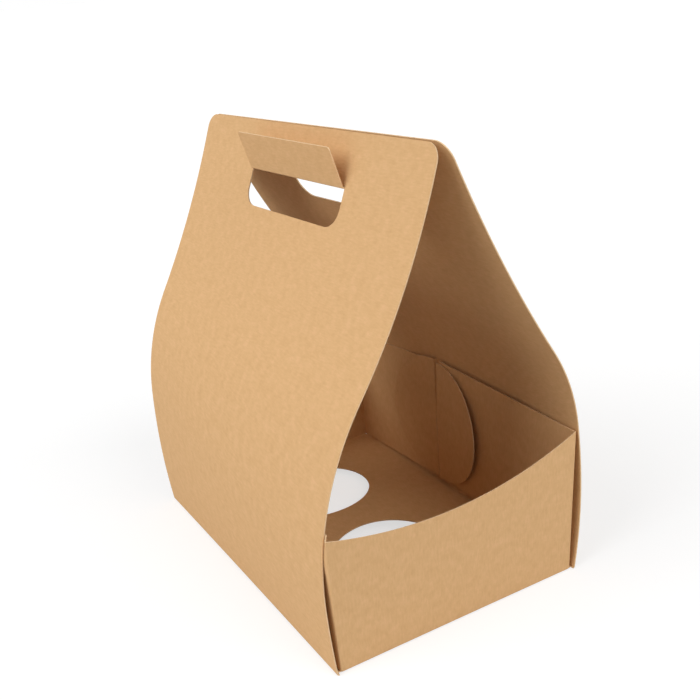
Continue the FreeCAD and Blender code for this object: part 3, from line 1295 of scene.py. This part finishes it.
@dataclass(frozen=True)
class WhiteSweep:
    """White paper sweep under the carrier: bright to the camera, with a faint soft shadow.

    Light reaches the board off the plain shade. A ray that shows the background sees a brighter
    shade, mixed with a share of white glow.
    """

    shade: float = 0.6
    seen_shade: float = 1.2
    glow_share: float = 0.65

    def material(self) -> bpy.types.Material:
        """Make the floor's material.

        Returns:
            The material.
        """
        material, tree = new_material("white_paper_sweep")
        shown = seen_rays(tree)
        glow = add_node(tree, "ShaderNodeEmission", {}, {"Color": WHITE, "Strength": 1.0})
        shade = add_node(
            tree, "ShaderNodeMapRange", {},
            {"Value": shown, "To Min": self.shade, "To Max": self.seen_shade},
        )
        paper = add_node(tree, "ShaderNodeBsdfDiffuse", {}, {"Color": shade.outputs["Result"]})
        share = add_node(
            tree, "ShaderNodeMath", {"operation": "MULTIPLY"}, {0: shown, 1: self.glow_share}
        )
        mixed = add_node(
            tree, "ShaderNodeMixShader", {},
            {0: share.outputs["Value"], 1: paper.outputs["BSDF"], 2: glow.outputs["Emission"]},
        )
        add_node(tree, "ShaderNodeOutputMaterial", {}, {"Surface": mixed.outputs["Shader"]})
        return material


@dataclass(frozen=True)
class SoftLight:
    """A broad light that falls evenly on the whole studio from one direction.

    At a level of 1, a surface that faces it shows its own colour.
    """

    name: str
    source: tuple[float, float, float]
    level: float
    spread: float = math.radians(50.0)

    def build(self) -> None:
        """Hang the light."""
        data = bpy.data.lights.new(self.name, "SUN")
        data.angle = self.spread
        data.energy = self.level * math.pi
        lamp = bpy.data.objects.new(self.name, data)
        bpy.context.scene.collection.objects.link(lamp)
        lamp.matrix_world = (-Vector(self.source)).to_track_quat("-Z", "Y").to_matrix().to_4x4()


@dataclass
class Studio:
    """Plain white floor, soft lamps and the camera, in metres and radians."""

    floor_size: float = 80.0
    floor_place: float = -0.0002
    ambient: float = 0.27
    lights: tuple[SoftLight, ...] = (
        SoftLight("left_light", source=(-0.78, 0.05, 0.62), level=0.62),
        SoftLight("front_light", source=(0.3, -0.78, 0.55), level=0.51),
    )
    lens: float = 51.09
    sensor: float = 36.0
    nearest: float = 0.01
    camera_place: tuple[float, float, float] = (-0.216454, -0.426303, 0.289869)
    yaw: float = -0.484910
    pitch: float = 0.366824
    roll: float = -0.108258

    def build(self) -> None:
        """Set the floor, world, lamps, camera and colour view."""
        self.build_floor()
        self.build_world()
        for light in self.lights:
            light.build()
        self.build_camera()
        bpy.context.scene.view_settings.view_transform = "Standard"

    def build_floor(self) -> None:
        """Lay the floor."""
        mesh = bmesh.new()
        bmesh.ops.create_grid(mesh, x_segments=1, y_segments=1, size=self.floor_size / 2)
        data = bpy.data.meshes.new("studio_floor")
        bmesh.ops.translate(mesh, verts=mesh.verts[:], vec=(0.0, 0.0, self.floor_place))
        mesh.to_mesh(data)
        mesh.free()
        data.materials.append(WhiteSweep().material())
        floor = bpy.data.objects.new("studio_floor", data)
        bpy.context.scene.collection.objects.link(floor)

    def build_world(self) -> None:
        """Make the surroundings white to the camera and dim to the board."""
        world = bpy.data.worlds.new("white_room")
        bpy.context.scene.world = world
        world.use_nodes = True
        tree = world.node_tree
        tree.nodes.clear()
        level = add_node(
            tree, "ShaderNodeMapRange", {},
            {"Value": seen_rays(tree), "To Min": self.ambient, "To Max": 1.0},
        )
        background = add_node(
            tree, "ShaderNodeBackground", {}, {"Color": WHITE, "Strength": level.outputs["Result"]}
        )
        add_node(tree, "ShaderNodeOutputWorld", {}, {"Surface": background.outputs["Background"]})

    def build_camera(self) -> None:
        """Place the camera at the angle from which the carrier is seen."""
        data = bpy.data.cameras.new("camera")
        data.lens = self.lens
        data.sensor_width = self.sensor
        data.clip_start = self.nearest
        camera = bpy.data.objects.new("camera", data)
        bpy.context.scene.collection.objects.link(camera)
        forward = -Vector((
            math.sin(self.yaw) * math.cos(self.pitch),
            -math.cos(self.yaw) * math.cos(self.pitch),
            math.sin(self.pitch),
        ))
        right = forward.cross(Vector((0.0, 0.0, 1.0))).normalized()
        up = right.cross(forward)
        turned_right = math.cos(self.roll) * right + math.sin(self.roll) * up
        turned_up = math.cos(self.roll) * up - math.sin(self.roll) * right
        frame = Matrix((turned_right, turned_up, -forward)).transposed().to_4x4()
        camera.matrix_world = Matrix.Translation(Vector(self.camera_place)) @ frame
        bpy.context.scene.camera = camera


def corners(bounds: Iterable[Iterable[float]]) -> list[list[float]]:
    """Turn a box's two corners to plain lists."""
    return [list(corner) for corner in bounds]


def main() -> None:
    """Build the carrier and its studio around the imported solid."""
    logging.basicConfig(level=logging.INFO, format="%(name)s: %(message)s")
    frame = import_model()
    LOG.info("the frame holds %d node", len(frame["nodes"]))
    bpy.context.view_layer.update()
    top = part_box(CARRIER_NODE)[1].z
    sheet = CarrierSheet(height=top / MM).build()
    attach(sheet, BODY)
    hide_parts(CARRIER_NODE)
    LOG.info("%s has %d faces", sheet.name, len(sheet.data.polygons))
    Studio().build()
    LOG.info("studio is set")


if __name__ == "__main__":
    main()
